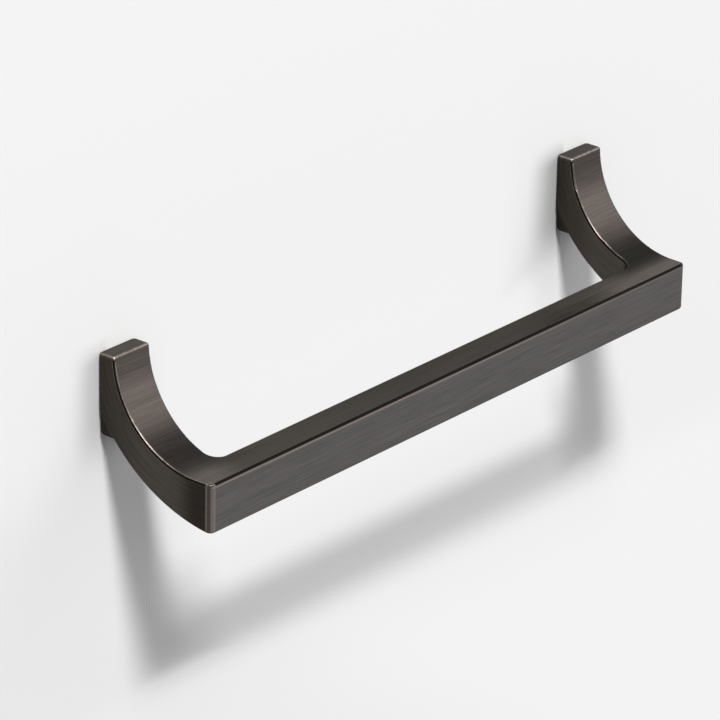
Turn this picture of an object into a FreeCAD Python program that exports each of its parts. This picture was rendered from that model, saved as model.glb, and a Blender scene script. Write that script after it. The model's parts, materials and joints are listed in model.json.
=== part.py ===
"""Rigid drawer pull cast in one piece, in millimetres.

A straight bar with square edges stands off the drawer front on two legs. Seen from the side, each leg
sweeps up and back from the bar in a concave curve to a flat foot. A slightly narrower boss under the
foot carries a blind screw hole.

Frame: +X runs along the bar, +Y into the drawer and +Z up. The origin is midway between the mouths of
the two screw holes, on the mounting plane, so the whole pull lies at Y = 0 or in front of it.
"""
import FreeCAD
import Part
import math
import os
import Sketcher

from FreeCAD import Vector

SIZES = [
    ("hole_pitch", 128.0, "between the two screw holes"),
    ("leg_width", 9.2, "of each leg at the mounting plane"),
    ("draft_angle", 2.0, "in degrees, by which the outer side of each leg leans in towards the bar"),
    ("projection", 25.0, "from the mounting plane to the bar's front face"),
    ("bar_depth", 6.4, "of the bar, front to back"),
    ("bar_height", 9.3, "of the bar's front face"),
    ("bar_top_drop", 6.5, "from the screw holes' centre line down to the bar's top"),
    ("bar_top_flat", 3.0, "of level bar top in front of the sweep"),
    ("foot_rise", 11.2, "from the screw holes' centre line up to the foot's top"),
    ("foot_top_depth", 3.7, "of the foot's top, front to back"),
    ("underside_rise", 1.0, "from the screw holes' centre line up to the underside's end at the wall"),
    ("underside_radius", 32.1, "of the concave underside, seen from the side"),
    ("boss_drop", 4.4, "from the screw holes' centre line down to the boss's lower face"),
    ("boss_inset", 0.3, "from the side of the leg to the side of the boss"),
    ("boss_edge_radius", 1.0, "of the edges round the boss's lower face"),
    ("screw_hole_diameter", 4.0, "across the roots of the M4 thread"),
    ("screw_hole_depth", 5.2, "of the screw hole's straight wall, with its mouth"),
    ("screw_hole_mouth", 4.6, "across the countersunk mouth"),
    ("drill_point_angle", 118.0, "in degrees, of the cone at the hole's end"),
    ("inner_corner_radius", 2.8, "of the corners between the legs and the bar"),
    ("bar_end_radius", 1.2, "of the upright edges at the ends of the bar"),
    ("foot_edge_radius", 0.8, "of the upright edges of the feet at the mounting plane"),
    ("edge_radius", 0.5, "of every other outer edge"),
]

COUNTERSINK_ANGLE = 90.0

START, END, CENTRE = range(1, 4)
X_AXIS, Z_AXIS = range(-1, -3, -1)
NEAR = 1e-4
SMOOTH_ANGLE = math.radians(3.0)


def make_sheet(doc):
    """Spreadsheet with one named driving size in each row."""
    sheet = doc.addObject("Spreadsheet::Sheet", "Sizes")
    for row, (name, value, meaning) in enumerate(SIZES, start=1):
        sheet.set(f"A{row}", name)
        sheet.set(f"B{row}", str(value))
        sheet.set(f"C{row}", meaning)
        sheet.setAlias(f"B{row}", name)
    doc.recompute()
    return sheet


def origin_plane(body, role):
    """Origin plane of the body with the given role."""
    return next(plane for plane in body.Origin.OriginFeatures if plane.Role == role)


def add_sketch(body, name, role):
    """Empty sketch on one of the body's own origin planes."""
    sketch = body.newObject("Sketcher::SketchObject", name)
    sketch.AttachmentSupport = [(origin_plane(body, role), "")]
    sketch.MapMode = "FlatFace"
    return sketch


def add_line(sketch, start, end):
    """Line between two points of the sketch plane; returns its number."""
    return sketch.addGeometry(Part.LineSegment(Vector(*start, 0), Vector(*end, 0)))


def add_arc(sketch, start, middle, end):
    """Counter-clockwise arc through three points of the sketch plane; returns its number."""
    return sketch.addGeometry(Part.Arc(Vector(*start, 0), Vector(*middle, 0), Vector(*end, 0)))


def constrain(sketch, kind, *places):
    sketch.addConstraint(Sketcher.Constraint(kind, *places))


def drive(sketch, name, formula, kind, *places):
    """Dimension that follows a formula of the driving sizes."""
    value = float(sketch.evalExpression(formula))
    number = sketch.addConstraint(Sketcher.Constraint(kind, *places, value))
    sketch.renameConstraint(number, name)
    sketch.setExpression(f"Constraints.{name}", formula)


def add_pad(body, name, sketch, length_formula):
    pad = body.newObject("PartDesign::Pad", name)
    pad.Profile = sketch
    pad.setExpression("Length", length_formula)
    return pad


def add_through_pocket(body, name, sketch):
    """Pocket that cuts the sketch's outline right through the body, to both sides."""
    pocket = body.newObject("PartDesign::Pocket", name)
    pocket.Profile = sketch
    pocket.Type = "ThroughAll"
    pocket.SideType = "Symmetric"
    return pocket


def is_sharp(shape, edge):
    """True where the two faces beside the edge meet at an angle."""
    middle = edge.valueAt((edge.FirstParameter + edge.LastParameter) / 2)
    normals = []
    for face in shape.ancestorsOfType(edge, Part.Face):
        normals.append(face.normalAt(*face.Surface.parameter(middle)))
    return len(normals) == 2 and normals[0].getAngle(normals[1]) > SMOOTH_ANGLE


def is_upright_at(edge, depth):
    """True for an edge that runs straight up at the given depth in front of the mounting plane."""
    ends = [vertex.Point for vertex in edge.Vertexes]
    if len(ends) != 2 or abs(ends[0].z - ends[1].z) < NEAR:
        return False
    return all(abs(end.y + depth) < NEAR for end in ends) and abs(ends[0].x - ends[1].x) < NEAR


def lies_on_wall(edge):
    """True for an edge that lies on the mounting plane all along."""
    return edge.BoundBox.YMin > -NEAR


def add_fillet(body, name, base, wanted, radius_formula):
    """Fillet on the base feature's edges that the test picks."""
    body.Document.recompute()
    edges = base.Shape.Edges
    picked = [f"Edge{number}" for number, edge in enumerate(edges, start=1) if wanted(edge)]
    fillet = body.newObject("PartDesign::Fillet", name)
    fillet.Base = (base, picked)
    fillet.setExpression("Radius", radius_formula)
    return fillet


def draw_plan(body, size):
    """U-shaped outline seen from above: the bar across the front and a leg at each end."""
    sketch = add_sketch(body, "Plan", "XY_Plane")
    sketch.setExpression("AttachmentOffset.Base.z", "-(Sizes.bar_top_drop + Sizes.bar_height)")
    outer = (size.hole_pitch + size.leg_width) / 2
    inner = (size.hole_pitch - size.leg_width) / 2
    bar_end = outer - size.projection * math.tan(math.radians(size.draft_angle))
    front = -size.projection
    back = front + size.bar_depth
    right = [(outer, 0), (bar_end, front), (inner, back), (inner, 0)]
    left = [(-x, y) for x, y in right]
    corners = [left[0], left[1], right[1], right[0], right[3], right[2], left[2], left[3]]
    lines = []
    for corner, next_corner in zip(corners, corners[1:] + corners[:1]):
        lines.append(add_line(sketch, corner, next_corner))
    for line, next_line in zip(lines, lines[1:] + lines[:1]):
        constrain(sketch, "Coincident", line, END, next_line, START)
    left_side, bar_front, right_side, right_foot, right_inner, bar_back, left_inner = lines[:-1]
    constrain(sketch, "PointOnObject", right_foot, START, X_AXIS)
    constrain(sketch, "PointOnObject", right_foot, END, X_AXIS)
    constrain(sketch, "Symmetric", left_side, START, right_side, END, Z_AXIS)
    constrain(sketch, "Symmetric", bar_front, START, bar_front, END, Z_AXIS)
    constrain(sketch, "Symmetric", left_inner, END, right_inner, START, Z_AXIS)
    constrain(sketch, "Symmetric", bar_back, START, bar_back, END, Z_AXIS)
    constrain(sketch, "Vertical", right_inner)
    drive(sketch, "overall_length", "Sizes.hole_pitch + Sizes.leg_width",
          "DistanceX", left_side, START, right_side, END)
    drive(sketch, "gap", "Sizes.hole_pitch - Sizes.leg_width",
          "DistanceX", left_inner, END, right_inner, START)
    drive(sketch, "bar_length",
          "Sizes.hole_pitch + Sizes.leg_width - 2 * Sizes.projection * tan(Sizes.draft_angle)",
          "DistanceX", bar_front, START, bar_front, END)
    drive(sketch, "projection", "Sizes.projection", "DistanceY", bar_front, START, X_AXIS, START)
    drive(sketch, "bar_depth", "Sizes.bar_depth", "DistanceY", bar_front, START, bar_back, START)
    return sketch


def draw_sweep(body, size):
    """Side outline of all that is open above the bar and in front of the legs' sweep."""
    sketch = add_sketch(body, "SweepOutline", "YZ_Plane")
    front = -size.projection
    bar_top = -size.bar_top_drop
    sweep_end = (front + size.bar_top_flat, bar_top)
    foot_front = (-size.foot_top_depth, size.foot_rise)
    reach = foot_front[0] - sweep_end[0]
    rise = foot_front[1] - sweep_end[1]
    radius = (reach ** 2 + rise ** 2) / (2 * rise)
    middle_angle = math.atan2(reach, radius - rise) / 2
    sweep_middle = (sweep_end[0] + radius * math.sin(middle_angle),
                    sweep_end[1] + radius * (1 - math.cos(middle_angle)))
    sweep = add_arc(sketch, sweep_end, sweep_middle, foot_front)
    top = add_line(sketch, foot_front, (front, size.foot_rise))
    face = add_line(sketch, (front, size.foot_rise), (front, bar_top))
    flat = add_line(sketch, (front, bar_top), sweep_end)
    constrain(sketch, "Coincident", sweep, END, top, START)
    constrain(sketch, "Coincident", top, END, face, START)
    constrain(sketch, "Coincident", face, END, flat, START)
    constrain(sketch, "Tangent", flat, END, sweep, START)
    constrain(sketch, "Horizontal", top)
    constrain(sketch, "Vertical", face)
    constrain(sketch, "Horizontal", flat)
    drive(sketch, "bar_top_flat", "Sizes.bar_top_flat", "DistanceX", flat, START, flat, END)
    drive(sketch, "projection", "Sizes.projection", "DistanceX", face, END, X_AXIS, START)
    drive(sketch, "bar_top_drop", "Sizes.bar_top_drop", "DistanceY", face, END, X_AXIS, START)
    drive(sketch, "foot_rise", "Sizes.foot_rise", "DistanceY", X_AXIS, START, top, START)
    drive(sketch, "foot_top_depth", "Sizes.foot_top_depth", "DistanceX", top, START, X_AXIS, START)
    return sketch


def draw_underside(body, size):
    """Side outline of all that is open below the legs and the bar."""
    sketch = add_sketch(body, "UndersideOutline", "YZ_Plane")
    low = -(size.bar_top_drop + size.bar_height)
    bar_edge = Vector(-size.projection, low, 0)
    wall_end = Vector(0, size.underside_rise, 0)
    chord = wall_end - bar_edge
    towards_centre = Vector(-chord.y, chord.x, 0).normalize()
    centre_distance = math.sqrt(size.underside_radius ** 2 - (chord.Length / 2) ** 2)
    middle = (bar_edge + wall_end) / 2 - towards_centre * (size.underside_radius - centre_distance)
    underside = add_arc(sketch, (bar_edge.x, bar_edge.y), (middle.x, middle.y), (0, wall_end.y))
    wall = add_line(sketch, (0, wall_end.y), (0, low))
    base = add_line(sketch, (0, low), (bar_edge.x, low))
    constrain(sketch, "Coincident", underside, END, wall, START)
    constrain(sketch, "Coincident", wall, END, base, START)
    constrain(sketch, "Coincident", base, END, underside, START)
    constrain(sketch, "PointOnObject", wall, START, Z_AXIS)
    constrain(sketch, "PointOnObject", wall, END, Z_AXIS)
    constrain(sketch, "Horizontal", base)
    drive(sketch, "underside_rise", "Sizes.underside_rise", "DistanceY", X_AXIS, START, wall, START)
    drive(sketch, "bar_bottom", "Sizes.bar_top_drop + Sizes.bar_height",
          "DistanceY", wall, END, X_AXIS, START)
    drive(sketch, "projection", "Sizes.projection", "DistanceX", base, END, X_AXIS, START)
    drive(sketch, "underside_radius", "Sizes.underside_radius", "Radius", underside)
    return sketch


def draw_boss(body, size):
    """Outline of the right-hand boss seen from above, rounded at the mounting plane."""
    sketch = add_sketch(body, "BossOutline", "XY_Plane")
    sketch.setExpression("AttachmentOffset.Base.z", "-Sizes.boss_drop")
    middle = size.hole_pitch / 2
    half = size.leg_width / 2 - size.boss_inset
    depth = size.screw_hole_depth - size.edge_radius
    radius = size.foot_edge_radius
    diagonal = radius * (1 - math.sqrt(0.5))
    low_x = middle - half
    high_x = middle + half
    front = add_line(sketch, (low_x, -depth), (high_x, -depth))
    right = add_line(sketch, (high_x, -depth), (high_x, -radius))
    right_round = add_arc(sketch, (high_x, -radius), (high_x - diagonal, -diagonal), (high_x - radius, 0))
    wall = add_line(sketch, (high_x - radius, 0), (low_x + radius, 0))
    left_round = add_arc(sketch, (low_x + radius, 0), (low_x + diagonal, -diagonal), (low_x, -radius))
    left = add_line(sketch, (low_x, -radius), (low_x, -depth))
    constrain(sketch, "Coincident", front, END, right, START)
    constrain(sketch, "Tangent", right, END, right_round, START)
    constrain(sketch, "Tangent", right_round, END, wall, START)
    constrain(sketch, "Tangent", wall, END, left_round, START)
    constrain(sketch, "Tangent", left_round, END, left, START)
    constrain(sketch, "Coincident", left, END, front, START)
    constrain(sketch, "Horizontal", front)
    constrain(sketch, "Vertical", right)
    constrain(sketch, "Vertical", left)
    constrain(sketch, "PointOnObject", wall, START, X_AXIS)
    constrain(sketch, "PointOnObject", wall, END, X_AXIS)
    constrain(sketch, "Equal", right_round, left_round)
    drive(sketch, "corner_radius", "Sizes.foot_edge_radius", "Radius", right_round)
    drive(sketch, "boss_width", "Sizes.leg_width - 2 * Sizes.boss_inset",
          "DistanceX", front, START, front, END)
    drive(sketch, "boss_side", "(Sizes.hole_pitch - Sizes.leg_width) / 2 + Sizes.boss_inset",
          "DistanceX", X_AXIS, START, front, START)
    drive(sketch, "boss_depth", "Sizes.screw_hole_depth - Sizes.edge_radius",
          "DistanceY", front, START, X_AXIS, START)
    return sketch


def draw_screw_holes(body, size):
    """Circles of the two screw holes on the mounting plane."""
    sketch = add_sketch(body, "ScrewHoleCircles", "XZ_Plane")
    circles = []
    for side in (-1, 1):
        centre = Vector(side * size.hole_pitch / 2, 0, 0)
        circle = Part.Circle(centre, Vector(0, 0, 1), size.screw_hole_diameter / 2)
        circles.append(sketch.addGeometry(circle))
    left, right = circles
    constrain(sketch, "PointOnObject", left, CENTRE, X_AXIS)
    constrain(sketch, "Symmetric", left, CENTRE, right, CENTRE, X_AXIS, START)
    constrain(sketch, "Equal", left, right)
    drive(sketch, "hole_pitch", "Sizes.hole_pitch", "DistanceX", left, CENTRE, right, CENTRE)
    drive(sketch, "hole_diameter", "Sizes.screw_hole_diameter", "Diameter", left)
    return sketch


def add_casting(body, size):
    """Bar and legs with their sweep, underside and rounded edges; returns the last feature."""
    plan = draw_plan(body, size)
    add_pad(body, "PlanPad", plan, "Sizes.bar_top_drop + Sizes.bar_height + Sizes.foot_rise")
    add_through_pocket(body, "Sweep", draw_sweep(body, size))
    underside = add_through_pocket(body, "Underside", draw_underside(body, size))
    corner_depth = size.projection - size.bar_depth
    corners = add_fillet(body, "InnerCorners", underside,
                         lambda edge: is_upright_at(edge, corner_depth), "Sizes.inner_corner_radius")
    ends = add_fillet(body, "BarEnds", corners,
                      lambda edge: is_upright_at(edge, size.projection), "Sizes.bar_end_radius")
    feet = add_fillet(body, "FootEdges", ends,
                      lambda edge: is_upright_at(edge, 0.0), "Sizes.foot_edge_radius")
    return add_fillet(body, "OuterEdges", feet,
                      lambda edge: is_sharp(feet.Shape, edge) and not lies_on_wall(edge),
                      "Sizes.edge_radius")


def add_bosses(body, size):
    """Boss behind the underside of each leg, with rounded lower edges; returns the last feature."""
    boss = add_pad(body, "RightBoss", draw_boss(body, size),
                   "Sizes.boss_drop + Sizes.screw_hole_diameter / 2")
    body.Document.recompute()
    bosses = body.newObject("PartDesign::Mirrored", "LeftBoss")
    bosses.Originals = [boss]
    bosses.MirrorPlane = (origin_plane(body, "YZ_Plane"), [""])
    body.Tip = bosses

    def is_lower_outer_edge(edge):
        box = edge.BoundBox
        is_low = max(abs(box.ZMin + size.boss_drop), abs(box.ZMax + size.boss_drop)) < NEAR
        return is_low and box.YMax > -size.foot_edge_radius - NEAR

    return add_fillet(body, "BossEdges", bosses, is_lower_outer_edge, "Sizes.boss_edge_radius")


def add_screw_holes(body, size):
    """Two blind holes for machine screws, countersunk at the mounting plane."""
    circles = draw_screw_holes(body, size)
    body.Document.recompute()
    before = body.Shape.Volume
    hole = body.newObject("PartDesign::Hole", "ScrewHoles")
    hole.Profile = circles
    body.Document.recompute()
    hole.ThreadType = "None"
    hole.DepthType = "Dimension"
    hole.DrillPoint = "Angled"
    hole.HoleCutType = "Countersink"
    hole.HoleCutCountersinkAngle = COUNTERSINK_ANGLE
    hole.setExpression("Diameter", "Sizes.screw_hole_diameter")
    hole.setExpression("Depth", "Sizes.screw_hole_depth")
    hole.setExpression("DrillPointAngle", "Sizes.drill_point_angle")
    hole.setExpression("HoleCutDiameter", "Sizes.screw_hole_mouth")
    hole.Reversed = True
    body.Document.recompute()
    wall_volume = math.pi * size.screw_hole_diameter ** 2 / 4 * size.screw_hole_depth
    if before - body.Shape.Volume < 2 * wall_volume:
        raise RuntimeError("the screw holes do not cut to their full depth")
    return hole


def make_pull(doc, size):
    body = doc.addObject("PartDesign::Body", "Pull")
    body.Label = "pull"
    add_casting(body, size)
    add_bosses(body, size)
    add_screw_holes(body, size)
    return body


def check(doc, bodies):
    """Stop on any object that failed and on any body that is not one valid solid."""
    for item in doc.Objects:
        if {"Invalid", "Error"} & set(item.State):
            raise RuntimeError(f"{item.Name} failed: {item.State}")
    for body in bodies:
        shape = body.Shape
        if shape.isNull() or not shape.isValid() or len(shape.Solids) != 1:
            raise RuntimeError(f"{body.Label} is not one valid solid")


class SheetValues:
    """Values of the sheet's cells, read by their alias."""

    def __init__(self, sheet):
        self.sheet = sheet

    def __getattr__(self, name):
        return float(self.sheet.get(name))


def main():
    doc = FreeCAD.newDocument("DrawerPull")
    size = SheetValues(make_sheet(doc))
    bodies = [make_pull(doc, size)]
    doc.recompute()
    check(doc, bodies)
    os.makedirs("parts", exist_ok=True)
    for body in bodies:
        body.Shape.exportStep(f"parts/{body.Label}.step")
        volume = body.Shape.Volume / 1000
        print(f"{body.Label}: {volume:.2f} cm3, box {body.Shape.BoundBox}")


main()
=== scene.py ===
"""Looks of a rigid drawer pull in dark oil-rubbed bronze, mounted on a plain pale wall.

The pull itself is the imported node. This script adds the threads in its screw holes, the finish, the
wall, the lamps and the camera. Lengths are written in millimetres and angles in degrees. The limits of
a mask are a tuple that goes to Nodes.ramp (start, end and, where they aren't 0 and 1, the values there)
or to Nodes.band (start and end of the rise, start and end of the fall).
"""

import functools
import json
import math
from types import SimpleNamespace

import bpy
from mathutils import Matrix, Vector


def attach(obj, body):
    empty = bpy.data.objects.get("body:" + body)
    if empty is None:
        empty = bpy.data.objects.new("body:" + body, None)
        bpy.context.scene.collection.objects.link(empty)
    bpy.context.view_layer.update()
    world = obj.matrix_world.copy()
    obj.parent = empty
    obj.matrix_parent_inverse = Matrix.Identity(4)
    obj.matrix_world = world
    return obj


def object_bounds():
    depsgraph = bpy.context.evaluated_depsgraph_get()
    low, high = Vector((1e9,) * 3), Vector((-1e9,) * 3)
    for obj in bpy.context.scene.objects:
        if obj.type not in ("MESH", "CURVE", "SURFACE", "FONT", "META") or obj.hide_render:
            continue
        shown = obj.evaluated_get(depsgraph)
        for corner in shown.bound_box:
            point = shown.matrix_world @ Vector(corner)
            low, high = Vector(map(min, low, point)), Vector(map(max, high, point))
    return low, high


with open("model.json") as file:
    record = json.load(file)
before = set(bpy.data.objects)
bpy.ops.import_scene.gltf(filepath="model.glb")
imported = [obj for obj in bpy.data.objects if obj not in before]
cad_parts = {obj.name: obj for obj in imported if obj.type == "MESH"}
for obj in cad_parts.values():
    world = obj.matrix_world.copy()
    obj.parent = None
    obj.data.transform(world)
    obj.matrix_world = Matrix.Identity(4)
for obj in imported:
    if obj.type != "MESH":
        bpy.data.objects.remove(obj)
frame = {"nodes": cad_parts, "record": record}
cad_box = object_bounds()

MM = 0.001

# What the frame says of the pull
MOUNTS = {mount["name"]: mount for mount in frame["record"]["mounts"]}
HOLE_X = MOUNTS["right_screw_hole"]["pos_m"][0] / MM
BAR_FRONT = cad_box[0][1] / MM
FOOT_TOP = cad_box[1][2] / MM

# The pull's other lengths, as in its source
OUTER_X = 68.6
DRAFT_ANGLE = 2.0
GAP_X = 59.4
GAP_CORNER_RADIUS = 2.8
BAR_BACK = -18.6
BAR_END_RADIUS = 1.2
SWEEP_CENTRE = (-22.0, 11.81)
SWEEP_RADIUS = 18.31
UNDERSIDE_CENTRE = (-28.31, 16.13)
UNDERSIDE_RADIUS = 32.1
EDGE_RADIUS = 0.5

# M4 x 0.7 thread: its ridge starts and ends with half a turn that rises from the wall of the hole
THREAD_PITCH = 0.7
THREAD_ROOT_RADIUS = 2.04
THREAD_CREST_RADIUS = 1.64
THREAD_ROOT_HALF = THREAD_PITCH * 7 / 16
THREAD_CREST_HALF = THREAD_PITCH / 8
THREAD_START = 0.75
THREAD_END = 4.75
THREAD_STEPS = 48
THREAD_TAPER_STEPS = THREAD_STEPS / 2
THREAD_LEAST_WIDTH = 0.05
THREAD_SIDES = 4

# Camera, fitted to the photo
CAMERA_AZIMUTH = -50.77
CAMERA_ELEVATION = 23.17
CAMERA_ROLL = 1.1
CAMERA_DISTANCE = 894.7
CAMERA_AIM = (-0.74, -2.25, -11.17)
CAMERA_LENS = 246.6
CAMERA_SENSOR = 36.0
CAMERA_CLIP_START = 10.0
CAMERA_CLIP_END = 20000.0

# Lamps: name, azimuth, elevation, distance, width, height and power in watts
LAMPS = (
    ("key", -28.0, 59.0, 5000.0, 960.0, 1120.0, 322.0),
    ("fill", 50.0, 24.0, 1500.0, 1200.0, 1100.0, 4.2),
)

# World: its strength as light, and as the camera and glossy reflections see it
WORLD_COLOUR = (0.9, 0.9, 0.9, 1)
WORLD_STRENGTH = 0.375
SEEN_WORLD_STRENGTH = 1.0

# Colours of the bronze
SWEEP_COLOUR = (0.093, 0.0795, 0.072, 1)
# Lit and shaded copies of the sweep's colour: painted shade on tops and sides, painted light on the bar's
# face
TOP_PAINTED_SHADE_COLOUR = (0.059, 0.053, 0.0455, 1)
BAR_FACE_PAINTED_LIGHT_COLOUR = (0.12, 0.113, 0.1085, 1)
SIDE_PAINTED_SHADE_COLOUR = (0.0505, 0.044, 0.037, 1)
# Copper of the wear, which also carries painted highlights
WEAR_AND_HIGHLIGHT_COLOUR = (0.27, 0.228, 0.205, 1)
# Painted shade of the dark lines beside the edges and under the bar
PAINTED_SHADE_COLOUR = (0.008, 0.0068, 0.006, 1)
GRAZING_TINT = (0.62, 0.62, 0.62, 1)

# Brushing: how the noise is stretched, and scale, detail and roughness of its fine and broad streaks
BAR_STRETCH = 0.02
LEG_CROSS_STRETCH = 0.2
LEG_STRETCH = 0.04
FINE_STREAKS = (4.2, 3.0, 0.65)
BROAD_STREAKS = (0.9, 2.0, 0.5)
FINE_SHARE = 0.8
STREAK_TONE = (0.3, 0.7, 0.8, 1.2)
STREAK_ROUGHNESS = (0.25, 0.75, 0.3, 0.4)
WEAR_AND_HIGHLIGHT_ROUGHNESS = 0.5
ANISOTROPY = 0.4
BUMP_STRENGTH = 0.12
BUMP_DEPTH = 0.02

# Which way a face looks, by the parts of its normal, and how near the bar's front its points are
SIDEWAYS_NORMAL = (0.6, 0.8)
UPWARD_NORMAL = (0.8, 0.95)
BAR_FACE_NORMAL = (0.9, 0.98)
BAR_FACE_DEPTH = (1.5, 0.8)

# Where looks change over from the left half to the right one, along x; pairs of SHARES are left and right
LEFT_TO_RIGHT = (-20.0, 20.0)

# Limits of the tone masks, in degrees up the sweep, along x, along y, along z or from an axis
# Painted shade in the sweep's hollow, on the left and on the right
LEFT_HOLLOW = (0.0, 18.0, 30.0, 56.0)
RIGHT_HOLLOW = (0.0, 12.0, 16.0, 50.0)
LEFT_HOLLOW_SHARE = 0.56
RIGHT_HOLLOW_SHARE = 0.6
HOLLOW_X = (50.0, 59.0)
# Painted light high on the sweep at the left, and painted shade there at the right
HIGH_SWEEP = (60.0, 70.0)
HIGH_SHARES = (1.0, -1.0)
LEFT_RUB_X = (-56.0, -65.0, 0.0, 0.85)
LEFT_RUB_Y = (-14.0, -22.0)
RIGHT_RUB_X = (36.0, 62.0)
RIGHT_RUB_Y = (-19.5, -23.0)
# Painted sheen on the top faces, rising towards the left and in a band on the right
LEFT_TOP_SHEEN_X = (-5.0, -45.0, 0.0, 0.45)
RIGHT_TOP_SHEEN_X = (26.0, 38.0, 48.0, 58.0)
# Painted light on the feet's tops, lessening their painted top shade
FOOT_TOP_Z = (8.0, 10.0)
CHEEK_Y = (-21.0, -16.0, -11.0, -5.0)
CHEEK_END_Y = (-17.0, -22.0)
# Painted shade on the boss, under the leg beside the wall
BOSS_RADIUS = (UNDERSIDE_RADIUS + 0.1, UNDERSIDE_RADIUS + 0.4)

# How much each tone mask lightens the finish, as a share of its tone; below zero it darkens it
TONE_CHANGES = {
    # Painted shade in the sweep's hollow
    "hollow": -1.0,
    # Painted light high on the sweep at the left, painted shade there at the right
    "high": 0.15,
    "rubbed": 0.45,
    # Painted sheen on the top faces
    "painted_top_sheen": 0.4,
    # Painted light on the feet's tops, lessening their painted top shade
    "foot_top": 0.24,
    # Painted shade on the boss, under the leg beside the wall
    "boss": -0.4,
    "cheek": 0.3,
    "cheek_end": -0.5,
}

# More than any distance between two faces of the pull
FAR = 100.0

# Faces on the shaded side of an edge, by distance from the bar's front or foot's top and by normal
ON_BAR = (1.3, 0.7)
ON_FOOT = (1.0, 0.6)
SHADED_SIDE_NORMAL = (0.5, 0.68)
SHADED_BAR_NORMAL = (0.15, 0.28)
SHADED_FOOT_NORMAL = (0.4, 0.58)

# Worn line with a painted highlight on the lit side of an edge
EDGE_LINE = (EDGE_RADIUS + 0.02, EDGE_RADIUS - 0.08)
LEG_EDGE_SHARE = 0.45
BAR_EDGE_SHARE = 0.2
EDGE_LINE_NORMAL = (0.1, 0.4, 1.0, 0.15)

# Thin worn line on the shaded side of an edge
THIN_LINE = (EDGE_RADIUS - 0.08, EDGE_RADIUS - 0.02, EDGE_RADIUS, EDGE_RADIUS + 0.12)
THIN_LINE_Z = (-3.0, 3.0, 0.1, 0.34)

# Weakening of both along the opening between the legs, and their uneven strength
BY_GAP = (0.8, 0.5)
GAP_SHARES = (0.3, 1.0)
GAP_Y = (-17.0, -9.0, 0.45, 1.0)
BREAK_NOISE = (0.9, 3.0, 0.6)
BREAKS = (0.38, 0.62, 0.4, 1.2)

# Worn line along the top of the bar's front face
FACE_LINE = (0.38, 0.52, 0.62, 0.95)
FACE_LINE_NORMAL = (0.8, 0.95)
FACE_LINE_X = (-10.0, 66.0, 0.95, 0.25)

# Worn line on the upright ends of the bar
END_LINE_START = (0.8, 0.92, 0.35, 1.0)
END_LINE_END = (BAR_END_RADIUS + 0.1, BAR_END_RADIUS - 0.08)
END_LINE_SHARES = (1.0, 0.3)
END_LINE_NORMAL = (0.45, 0.8, 0.55, 0.42)

# Corners worn and with a painted highlight, and the worn line round the top of a foot
CORNER_WEAR_AND_HIGHLIGHT = (0.5, 0.25, 0.0, 0.5)
TOP_LINE = (0.34, 0.24)
NEAR_TOP = (0.6, 0.5)
TOP_BREAKS = (0.35, 0.6, 0.45, 0.85)

# Painted shade: dark lines beside the shaded edges and under the bar, and where they fade
DARK_LINE = (EDGE_RADIUS - 0.03, EDGE_RADIUS - 0.15, 0.0, 0.98)
LOWER_LINE = (0.41, 0.33)
LOWER_LINE_SHARE = 0.6
DARK_BY_CORNER = (0.25, 0.5)
DARK_BY_TOP = (0.25, 0.38)

# Wall: its outline, the openings behind the feet as row and column of its grid, and its surface
WALL_X = (-900.0, 900.0)
WALL_Z = (-950.0, 700.0)
WALL_Y = 0.05
OPENING_HALF_WIDTH = 3.6
OPENING_BOTTOM = -3.3
OPENING_TOP = FOOT_TOP - 0.6
OPENINGS = ((1, 1), (1, 3))
WALL_COLOUR = (0.87, 0.87, 0.87)
WALL_ROUGHNESS = 0.7
WALL_SPECULAR = 0.2

# Painted shade: fall of the wall's tone towards its lower left, across a line that rises to the left
FALLOFF = (-150.0, -88.0, 0.945, 1.0)
FALLOFF_SLOPE = 1.5

# Painted light: unshaded tone that the wall glows with for the camera, and its share by height
GLOW_COLOUR = (0.9, 0.9, 0.9, 1)
GLOW_Z = (60.0, -15.0, 0.0, 0.88)

# Core of the bar's shadow, which keeps less of it, and how the bar's and the legs' shadows lean
BAR_SHADOW = (-64.0, -54.5, -50.5, -42.5)
BAR_SHADOW_CHANGE = -0.72
BAR_SHADOW_SLOPE = 0.018
LEG_SHADOW_SLOPE = 0.28

# Where the legs' shadows end and the glow between them starts
UNDER_SHADOWS_Z = (-54.0, -58.0)
LEFT_LEG_SHADOW = (-64.0, -46.0)
LEFT_FOOT_Z = (-22.0, -12.0)
LEFT_FOOT_X = (-58.0, -50.0)
UNDER_LEFT_LEG_X = (-100.0, -52.0)
RIGHT_LEG_SHADOW = (56.0, 45.0)
RIGHT_LEG_Z = (-8.0, -15.0)
RIGHT_LEG_X = (53.0, 41.0)

# Shade on the wall close to the left of each foot
LEFT_CONTACT_X = (-76.0, -69.0, -67.0, -66.0)
LEFT_CONTACT_SHARE = 0.25
RIGHT_CONTACT_X = (50.0, 59.5, 61.0, 62.0)
RIGHT_CONTACT_SHARE = 0.45
CONTACT_Z = (-13.0, -2.0, 8.5, 14.5)


def direction(azimuth, elevation):
    """Unit vector towards an azimuth, counted from the front to the right, and an elevation."""
    azimuth = math.radians(azimuth)
    elevation = math.radians(elevation)
    return Vector((math.sin(azimuth) * math.cos(elevation),
                   -math.cos(azimuth) * math.cos(elevation),
                   math.sin(elevation)))


def link_object(name, data):
    item = bpy.data.objects.new(name, data)
    bpy.context.scene.collection.objects.link(item)
    return item


def aimed(target, away, distance, roll=0.0):
    """Matrix of a camera or lamp that looks at the target from the given way and distance."""
    turn = away.to_track_quat("Z", "Y").to_matrix().to_4x4()
    return Matrix.Translation(target + away * distance) @ turn @ Matrix.Rotation(math.radians(roll), 4, "Z")


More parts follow.
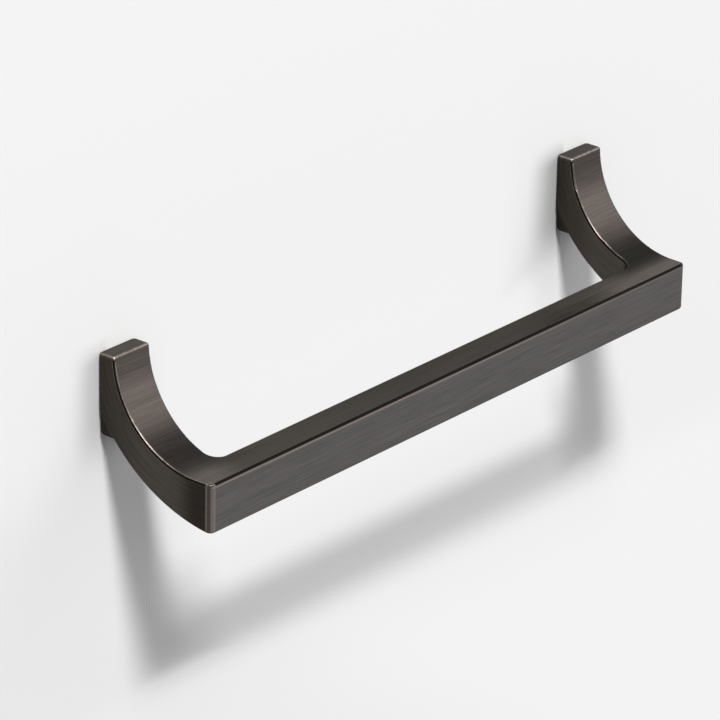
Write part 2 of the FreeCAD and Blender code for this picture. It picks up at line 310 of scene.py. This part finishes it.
def add_camera():
    data = bpy.data.cameras.new("camera")
    data.lens = CAMERA_LENS
    data.sensor_width = CAMERA_SENSOR
    data.clip_start = CAMERA_CLIP_START * MM
    data.clip_end = CAMERA_CLIP_END * MM
    camera = link_object("camera", data)
    away = direction(CAMERA_AZIMUTH, CAMERA_ELEVATION)
    camera.matrix_world = aimed(Vector(CAMERA_AIM) * MM, away, CAMERA_DISTANCE * MM, CAMERA_ROLL)
    bpy.context.scene.camera = camera


def add_lamp(name, azimuth, elevation, distance, width, height, power):
    data = bpy.data.lights.new(name, "AREA")
    data.shape = "RECTANGLE"
    data.size = width * MM
    data.size_y = height * MM
    data.energy = power
    lamp = link_object(name, data)
    lamp.matrix_world = aimed(Vector((0, 0, 0)), direction(azimuth, elevation), distance * MM)
    lamp.visible_camera = False


class Nodes:
    """Short calls that add nodes to a tree and link them."""

    def __init__(self, tree):
        self.tree = tree

    def add(self, kind, **settings):
        node = self.tree.nodes.new(kind)
        for name, value in settings.items():
            setattr(node, name, value)
        return node

    def feed(self, socket, source):
        """Links an output to the socket, or sets the socket to a plain value."""
        if isinstance(source, bpy.types.NodeSocket):
            self.tree.links.new(source, socket)
        else:
            socket.default_value = source

    def feed_names(self, node, sources):
        """Feeds the inputs of the node that the names stand for."""
        for name, source in sources.items():
            self.feed(node.inputs[name], source)

    def result(self, node, *sources):
        """First output of the node, after its inputs are fed in order."""
        for socket, source in zip(node.inputs, sources):
            self.feed(socket, source)
        return node.outputs[0]

    def math(self, operation, *sources):
        return self.result(self.add("ShaderNodeMath", operation=operation), *sources)

    def chain(self, operation, *values):
        """One value out of several, by an operation on two at a time."""
        return functools.reduce(functools.partial(self.math, operation), values)

    def total(self, *terms):
        return self.chain("ADD", *terms)

    def product(self, *factors):
        return self.chain("MULTIPLY", *factors)

    def greatest(self, *values):
        return self.chain("MAXIMUM", *values)

    def apart(self, a, b):
        """How far two values are from each other."""
        return self.math("ABSOLUTE", self.math("SUBTRACT", a, b))

    def length(self, a, b):
        """Length of the vector with the two parts."""
        return self.math("SQRT", self.total(self.product(a, a), self.product(b, b)))

    def rest(self, mask):
        """Mask of everything outside the mask."""
        return self.math("SUBTRACT", 1.0, mask)

    def change(self, mask, amount):
        """Factor that is one outside the mask and differs from one by the amount inside it."""
        return self.math("MULTIPLY_ADD", mask, amount, 1.0)

    def ramp(self, source, start, end, low=0.0, high=1.0):
        """Smooth step from low at start to high at end."""
        node = self.add("ShaderNodeMapRange", interpolation_type="SMOOTHSTEP")
        return self.result(node, source, start, end, low, high)

    def band(self, source, rise_start, rise_end, fall_start, fall_end):
        """Smooth hump that is one between rise_end and fall_start."""
        rise = self.ramp(source, rise_start, rise_end)
        fall = self.ramp(source, fall_end, fall_start)
        return self.product(rise, fall)

    def mix(self, kind, factor, a, b):
        """Mix of two sources of one kind, which is VALUE, VECTOR or RGBA."""
        node = self.add("ShaderNodeMix", data_type="FLOAT" if kind == "VALUE" else kind)
        self.feed(node.inputs["Factor"], factor)
        for name, source in (("A", a), ("B", b)):
            self.feed(next(s for s in node.inputs if s.name == name and s.type == kind), source)
        return next(s for s in node.outputs if s.type == kind)

    def mix_shaders(self, factor, a, b):
        return self.result(self.add("ShaderNodeMixShader"), factor, a, b)

    def vector(self, x, y, z):
        return self.result(self.add("ShaderNodeCombineXYZ"), x, y, z)

    def parts(self, vector):
        separate = self.add("ShaderNodeSeparateXYZ")
        self.feed(separate.inputs[0], vector)
        return separate.outputs

    def scale(self, vector, factor):
        """A vector or colour times a factor."""
        node = self.add("ShaderNodeVectorMath", operation="SCALE")
        self.feed(node.inputs[0], vector)
        self.feed(node.inputs["Scale"], factor)
        return node.outputs[0]

    def place(self, coordinates):
        """Parts of the object's own coordinates, in millimetres."""
        return self.parts(self.scale(coordinates.outputs["Object"], 1 / MM))

    def noise(self, vector, scale, detail, roughness):
        node = self.add("ShaderNodeTexNoise")
        self.feed_names(node, {"Vector": vector, "Scale": scale, "Detail": detail, "Roughness": roughness})
        return node.outputs["Fac"]


def new_material(name):
    """A new material, its nodes and its surface shader."""
    material = bpy.data.materials.new(name)
    material.use_nodes = True
    return material, Nodes(material.node_tree), material.node_tree.nodes["Principled BSDF"]


def read_surface(n):
    """Where a point of the pull is and which way its face looks, as values and as masks."""
    coordinates = n.add("ShaderNodeTexCoord")
    x, y, z = n.place(coordinates)
    right, back, up = n.parts(coordinates.outputs["Normal"])
    ahead = n.math("MULTIPLY", back, -1.0)
    lean = n.math("ABSOLUTE", right)
    sideways = n.ramp(lean, *SIDEWAYS_NORMAL)
    front = n.math("SUBTRACT", y, BAR_FRONT)
    sweep_y = n.math("SUBTRACT", y, SWEEP_CENTRE[0])
    sweep_z = n.math("SUBTRACT", z, SWEEP_CENTRE[1])
    underside_y = n.math("SUBTRACT", y, UNDERSIDE_CENTRE[0])
    underside_z = n.math("SUBTRACT", z, UNDERSIDE_CENTRE[1])
    return SimpleNamespace(
        x=x, y=y, z=z, right=right, ahead=ahead, up=up, lean=lean,
        front=front,
        across=n.math("ABSOLUTE", x),
        sideways=sideways,
        flat=n.rest(sideways),
        upward=n.ramp(up, *UPWARD_NORMAL),
        bar_face=n.product(n.ramp(ahead, *BAR_FACE_NORMAL), n.ramp(front, *BAR_FACE_DEPTH)),
        sweep_y=sweep_y,
        sweep_z=sweep_z,
        sweep_radius=n.length(sweep_y, sweep_z),
        sweep_angle=n.math("ARCTAN2", sweep_y, n.math("MULTIPLY", sweep_z, -1.0)),
        underside_radius=n.length(underside_y, underside_z))


def past_corner(n, a, b):
    """How far a point is past a rounded corner's centre: on its arc and its walls it is the radius."""
    outside = n.length(n.greatest(a, 0.0), n.greatest(b, 0.0))
    inside = n.math("MINIMUM", n.greatest(a, b), 0.0)
    return n.total(outside, inside)


def next_distances(n, distances):
    """The second and third smallest of the distances."""
    first, second, third = distances[0], FAR, FAR
    for distance in distances[1:]:
        third = n.math("MINIMUM", third, n.greatest(second, distance))
        second = n.math("MINIMUM", second, n.greatest(first, distance))
        first = n.math("MINIMUM", first, distance)
    return second, third


def edge_distances(n, surface):
    """Distances from faces of the casting, from its nearest outer edge and from its nearest corner."""
    outer_x = n.math("MULTIPLY_ADD", surface.y, math.tan(math.radians(DRAFT_ANGLE)), OUTER_X)
    side = n.math("SUBTRACT", outer_x, surface.across)
    past_side = n.math("SUBTRACT", BAR_END_RADIUS, side)
    past_front = n.math("SUBTRACT", BAR_END_RADIUS, surface.front)
    outline = n.apart(BAR_END_RADIUS, past_corner(n, past_side, past_front))
    to_sweep = n.length(n.greatest(surface.sweep_y, 0.0), surface.sweep_z)
    sweep = n.apart(to_sweep, SWEEP_RADIUS)
    past_leg = n.math("SUBTRACT", surface.across, GAP_X - GAP_CORNER_RADIUS)
    past_bar = n.math("SUBTRACT", BAR_BACK + GAP_CORNER_RADIUS, surface.y)
    gap = n.apart(past_corner(n, past_leg, past_bar), GAP_CORNER_RADIUS)
    top = n.apart(FOOT_TOP, surface.z)
    edge, corner = next_distances(n, [outline, sweep, gap, top])
    underside = n.apart(UNDERSIDE_RADIUS, surface.underside_radius)
    return SimpleNamespace(
        gap=gap, top=top, edge=edge, corner=corner,
        upright=n.greatest(surface.front, side),
        lower=n.greatest(surface.front, underside))


def shaded_faces(n, surface, distances, on_bar):
    """Mask of the faces on the shaded side of an edge: the sides, the bar's top and the feet's front."""
    bar_top = n.product(n.ramp(surface.up, *SHADED_BAR_NORMAL), on_bar)
    foot_front = n.product(n.ramp(surface.ahead, *SHADED_FOOT_NORMAL), n.ramp(distances.top, *ON_FOOT))
    return n.greatest(n.ramp(surface.lean, *SHADED_SIDE_NORMAL), bar_top, foot_front)


def wear_and_highlight_lines(n, surface, distances, on_bar, shaded):
    """Mask of the lines along outer edges that are rubbed through to copper, with painted highlights on
    them and on the corners.
    """
    edge_line = n.product(n.ramp(distances.edge, *EDGE_LINE), n.rest(shaded),
                          n.mix("VALUE", on_bar, LEG_EDGE_SHARE, BAR_EDGE_SHARE),
                          n.ramp(surface.right, *EDGE_LINE_NORMAL))
    thin_line = n.product(n.band(distances.edge, *THIN_LINE), shaded, n.ramp(surface.z, *THIN_LINE_Z))
    gap_share = n.product(n.ramp(surface.x, *LEFT_TO_RIGHT, *GAP_SHARES), n.ramp(surface.y, *GAP_Y))
    breaks = n.noise(n.vector(surface.x, surface.y, surface.z), *BREAK_NOISE)
    along_edges = n.product(n.greatest(edge_line, thin_line),
                            n.mix("VALUE", n.ramp(distances.gap, *BY_GAP), 1.0, gap_share),
                            n.ramp(breaks, *BREAKS))
    face_line = n.product(n.band(distances.edge, *FACE_LINE), n.ramp(surface.ahead, *FACE_LINE_NORMAL),
                          on_bar, n.ramp(surface.x, *FACE_LINE_X))
    end_line = n.product(n.ramp(distances.upright, *END_LINE_START),
                         n.ramp(distances.upright, *END_LINE_END),
                         n.ramp(surface.x, *LEFT_TO_RIGHT, *END_LINE_SHARES),
                         n.ramp(surface.lean, *END_LINE_NORMAL))
    top_line = n.product(n.ramp(distances.edge, *TOP_LINE), n.ramp(distances.top, *NEAR_TOP),
                         n.ramp(breaks, *TOP_BREAKS))
    # Corners: wear with a painted highlight dot
    corners = n.ramp(distances.corner, *CORNER_WEAR_AND_HIGHLIGHT)
    return n.greatest(along_edges, face_line, end_line, corners, top_line)


def painted_shade_lines(n, distances, shaded):
    """Mask of the painted shade in dark lines beside the shaded edges and under the bar."""
    beside_edges = n.product(n.ramp(distances.edge, *DARK_LINE), shaded)
    under_bar = n.product(n.ramp(distances.lower, *LOWER_LINE), LOWER_LINE_SHARE)
    return n.product(n.greatest(beside_edges, under_bar), n.ramp(distances.corner, *DARK_BY_CORNER),
                     n.ramp(distances.top, *DARK_BY_TOP))


def brushing(n, surface):
    """Fine streaks, and fine and broad ones together, along the bar and down the sides of the legs."""
    around = n.product(surface.sweep_angle, SWEEP_RADIUS)
    along_bar = n.vector(n.product(surface.x, BAR_STRETCH), surface.y, surface.z)
    along_leg = n.vector(n.product(surface.x, LEG_CROSS_STRETCH), surface.sweep_radius,
                         n.product(around, LEG_STRETCH))
    grain = n.mix("VECTOR", surface.sideways, along_bar, along_leg)
    fine = n.noise(grain, *FINE_STREAKS)
    broad = n.noise(grain, *BROAD_STREAKS)
    return fine, n.total(n.product(fine, FINE_SHARE), n.product(broad, 1 - FINE_SHARE))


def tone_masks(n, surface):
    """Masks by name of where the finish is lighter or darker than its streaks: painted light and shade,
    rubbed spots and the sides' tones.
    """
    degrees = n.product(surface.sweep_angle, math.degrees(1.0))
    # Painted shade in the sweep's hollow, with its own limits on the left and the right
    left_hollow = n.product(n.band(degrees, *LEFT_HOLLOW), LEFT_HOLLOW_SHARE)
    right_hollow = n.product(n.band(degrees, *RIGHT_HOLLOW), RIGHT_HOLLOW_SHARE)
    hollow = n.mix("VALUE", n.ramp(surface.x, *LEFT_TO_RIGHT), left_hollow, right_hollow)
    left_rub = n.product(n.ramp(surface.x, *LEFT_RUB_X), n.ramp(surface.y, *LEFT_RUB_Y))
    right_rub = n.product(n.ramp(surface.x, *RIGHT_RUB_X), n.ramp(surface.y, *RIGHT_RUB_Y))
    rub_faces = n.math("SUBTRACT", surface.flat, surface.bar_face)
    # Painted sheen on the top faces, rising towards the left and in a band on the right
    painted_top_sheen = n.greatest(n.ramp(surface.x, *LEFT_TOP_SHEEN_X), n.band(surface.x, *RIGHT_TOP_SHEEN_X))
    return {
        "hollow": n.product(hollow, surface.flat, n.ramp(surface.across, *HOLLOW_X)),
        # Painted light high on the sweep at the left, painted shade there at the right
        "high": n.product(n.ramp(degrees, *HIGH_SWEEP), surface.flat,
                          n.ramp(surface.x, *LEFT_TO_RIGHT, *HIGH_SHARES), n.rest(surface.upward)),
        "rubbed": n.product(n.greatest(left_rub, right_rub), rub_faces),
        "painted_top_sheen": n.product(painted_top_sheen, surface.upward),
        # Painted light on the feet's tops, lessening their painted top shade
        "foot_top": n.product(surface.upward, n.ramp(surface.z, *FOOT_TOP_Z)),
        # Painted shade on the boss, under the leg beside the wall
        "boss": n.ramp(surface.underside_radius, *BOSS_RADIUS),
        "cheek": n.product(n.band(surface.y, *CHEEK_Y), surface.sideways),
        "cheek_end": n.product(n.ramp(surface.y, *CHEEK_END_Y), surface.sideways),
    }


def bronze_colour(n, surface, streaks):
    """Colour of the brushed finish with its painted light and shade, without the copper and the dark lines.
    """
    masks = tone_masks(n, surface)
    # Painted shade on the tops except at the rubbed spots, painted light on the bar's face, painted shade
    # on the sides
    painted_top_shade = n.product(surface.upward, n.rest(masks["rubbed"]))
    colour = n.mix("RGBA", painted_top_shade, SWEEP_COLOUR, TOP_PAINTED_SHADE_COLOUR)
    colour = n.mix("RGBA", surface.bar_face, colour, BAR_FACE_PAINTED_LIGHT_COLOUR)
    colour = n.mix("RGBA", surface.sideways, colour, SIDE_PAINTED_SHADE_COLOUR)
    changes = [n.change(masks[name], amount) for name, amount in TONE_CHANGES.items()]
    return n.scale(colour, n.product(n.ramp(streaks, *STREAK_TONE), *changes))


def make_bronze():
    """Dark bronze brushed along the bar and down the legs, rubbed through to copper at the edges, with
    painted light and shade.
    """
    material, n, shader = new_material("brushed_bronze")
    surface = read_surface(n)
    fine, streaks = brushing(n, surface)
    distances = edge_distances(n, surface)
    on_bar = n.ramp(surface.front, *ON_BAR)
    shaded = shaded_faces(n, surface, distances, on_bar)
    # Copper wear with painted highlights along the edges
    wear_and_highlight = wear_and_highlight_lines(n, surface, distances, on_bar, shaded)
    # Painted shade in dark lines beside the shaded edges and under the bar
    dark = painted_shade_lines(n, distances, shaded)
    colour = n.mix("RGBA", dark, bronze_colour(n, surface, streaks), PAINTED_SHADE_COLOUR)
    bump = n.add("ShaderNodeBump")
    n.feed_names(bump, {"Strength": BUMP_STRENGTH, "Distance": BUMP_DEPTH * MM, "Height": fine})
    n.feed_names(shader, {
        "Base Color": n.mix("RGBA", wear_and_highlight, colour, WEAR_AND_HIGHLIGHT_COLOUR),
        "Metallic": 1.0,
        "Roughness": n.mix("VALUE", wear_and_highlight, n.ramp(streaks, *STREAK_ROUGHNESS), WEAR_AND_HIGHLIGHT_ROUGHNESS),
        "Anisotropic": ANISOTROPY,
        "Specular Tint": GRAZING_TINT,
        "Normal": bump.outputs[0],
    })
    return material


def add_mesh(name, corners, faces, material):
    mesh = bpy.data.meshes.new(name)
    mesh.from_pydata(corners, [], faces)
    mesh.materials.append(material)
    return link_object(name, mesh)


def ridge_section(height):
    """Radius and shift along the hole of the ridge's four corners, at a share of its full height."""
    crest = THREAD_ROOT_RADIUS - (THREAD_ROOT_RADIUS - THREAD_CREST_RADIUS) * height
    width = max(height, THREAD_LEAST_WIDTH)
    root_half = THREAD_ROOT_HALF * width
    crest_half = THREAD_CREST_HALF * width
    return ((THREAD_ROOT_RADIUS, -root_half), (crest, -crest_half),
            (crest, crest_half), (THREAD_ROOT_RADIUS, root_half))


def add_thread(name, hole_x, material):
    """Ridge of an M4 thread that winds down the wall of one screw hole."""
    count = int((THREAD_END - THREAD_START) / THREAD_PITCH * THREAD_STEPS)
    corners = []
    for step in range(count + 1):
        angle = 2 * math.pi * step / THREAD_STEPS
        depth = THREAD_START + THREAD_PITCH * step / THREAD_STEPS
        height = min(1.0, step / THREAD_TAPER_STEPS, (count - step) / THREAD_TAPER_STEPS)
        for radius, shift in ridge_section(height):
            x = hole_x + radius * math.cos(angle)
            z = radius * math.sin(angle)
            corners.append(Vector((x, -(depth + shift), z)) * MM)
    faces = [tuple(range(THREAD_SIDES))]
    for step in range(count):
        for side in range(THREAD_SIDES):
            a = THREAD_SIDES * step + side
            b = THREAD_SIDES * step + (side + 1) % THREAD_SIDES
            faces.append((a, a + THREAD_SIDES, b + THREAD_SIDES, b))
    last = THREAD_SIDES * count
    faces.append(tuple(reversed(range(last, last + THREAD_SIDES))))
    thread = add_mesh(name, corners, faces, material)
    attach(thread, "root")


def painted_wall_light(n, x, z):
    """Share of painted light, the unshaded tone that the wall glows with: it makes the bar's shadow lighter
    and narrower.
    """
    along_bar = n.math("MULTIPLY_ADD", x, BAR_SHADOW_SLOPE, z)
    along_leg = n.math("MULTIPLY_ADD", z, LEG_SHADOW_SLOPE, x)
    under = n.ramp(z, *UNDER_SHADOWS_Z)
    beside_left_foot = n.product(n.ramp(z, *LEFT_FOOT_Z), n.ramp(x, *LEFT_FOOT_X))
    under_left_leg = n.product(under, n.ramp(x, *UNDER_LEFT_LEG_X))
    past_left_leg = n.greatest(n.ramp(along_leg, *LEFT_LEG_SHADOW), beside_left_foot, under_left_leg)
    beside_right_leg = n.product(n.ramp(z, *RIGHT_LEG_Z), n.ramp(along_leg, *RIGHT_LEG_SHADOW))
    before_right_leg = n.greatest(beside_right_leg, n.ramp(x, *RIGHT_LEG_X), under)
    bar_core = n.change(n.band(along_bar, *BAR_SHADOW), BAR_SHADOW_CHANGE)
    return n.product(past_left_leg, before_right_leg, n.ramp(z, *GLOW_Z), bar_core)


def contact_shade(n, x, z):
    """How much darker the wall is close to the left of each foot."""
    left = n.product(n.band(x, *LEFT_CONTACT_X), LEFT_CONTACT_SHARE)
    right = n.product(n.band(x, *RIGHT_CONTACT_X), RIGHT_CONTACT_SHARE)
    return n.product(n.greatest(left, right), n.band(z, *CONTACT_Z))


def make_wall():
    """Pale matt paint that the camera doesn't see from behind, with painted shade and, for the camera, a
    painted glow that lightens the shadows.
    """
    material, n, shader = new_material("wall")
    x, _, z = n.place(n.add("ShaderNodeTexCoord"))
    # Painted shade towards the lower left, and beside the feet
    falloff = n.ramp(n.math("MULTIPLY_ADD", z, FALLOFF_SLOPE, x), *FALLOFF)
    n.feed_names(shader, {
        "Base Color": n.scale(WALL_COLOUR, n.product(falloff, n.rest(contact_shade(n, x, z)))),
        "Roughness": WALL_ROUGHNESS,
        "Specular IOR Level": WALL_SPECULAR,
    })
    seen = n.add("ShaderNodeLightPath").outputs["Is Camera Ray"]
    from_behind = n.add("ShaderNodeNewGeometry").outputs["Backfacing"]
    glow = n.add("ShaderNodeEmission")
    n.feed_names(glow, {"Color": GLOW_COLOUR, "Strength": falloff})
    clear = n.add("ShaderNodeBsdfTransparent")
    # Painted light: for the camera the wall partly glows with its unshaded tone, lightening the bar's
    # shadow
    front = n.mix_shaders(n.product(painted_wall_light(n, x, z), seen), shader.outputs[0], glow.outputs[0])
    both_sides = n.mix_shaders(n.product(from_behind, seen), front, clear.outputs[0])
    n.feed(material.node_tree.nodes["Material Output"].inputs["Surface"], both_sides)
    return material


def add_stage():
    """Plain wall with an opening behind each foot."""
    opening = (HOLE_X - OPENING_HALF_WIDTH, HOLE_X + OPENING_HALF_WIDTH)
    xs = [WALL_X[0], -opening[1], -opening[0], *opening, WALL_X[1]]
    zs = [WALL_Z[0], OPENING_BOTTOM, OPENING_TOP, WALL_Z[1]]
    corners = [Vector((x, WALL_Y, z)) * MM for z in zs for x in xs]
    faces = []
    for row in range(len(zs) - 1):
        for column in range(len(xs) - 1):
            if (row, column) not in OPENINGS:
                a = row * len(xs) + column
                faces.append((a, a + 1, a + 1 + len(xs), a + len(xs)))
    wall = add_mesh("wall", corners, faces, make_wall())


def add_world():
    world = bpy.data.worlds.new("world")
    world.use_nodes = True
    n = Nodes(world.node_tree)
    path = n.add("ShaderNodeLightPath")
    seen = n.greatest(path.outputs["Is Camera Ray"], path.outputs["Is Glossy Ray"])
    strength = n.mix("VALUE", seen, WORLD_STRENGTH, SEEN_WORLD_STRENGTH)
    n.feed_names(world.node_tree.nodes["Background"], {"Color": WORLD_COLOUR, "Strength": strength})
    bpy.context.scene.world = world


add_camera()
bronze = make_bronze()
for node in frame["nodes"].values():
    node.data.materials.clear()
    node.data.materials.append(bronze)
add_thread("left_thread", -HOLE_X, bronze)
add_thread("right_thread", HOLE_X, bronze)
add_stage()
for lamp in LAMPS:
    add_lamp(*lamp)
add_world()
bpy.context.scene.view_settings.view_transform = "Standard"
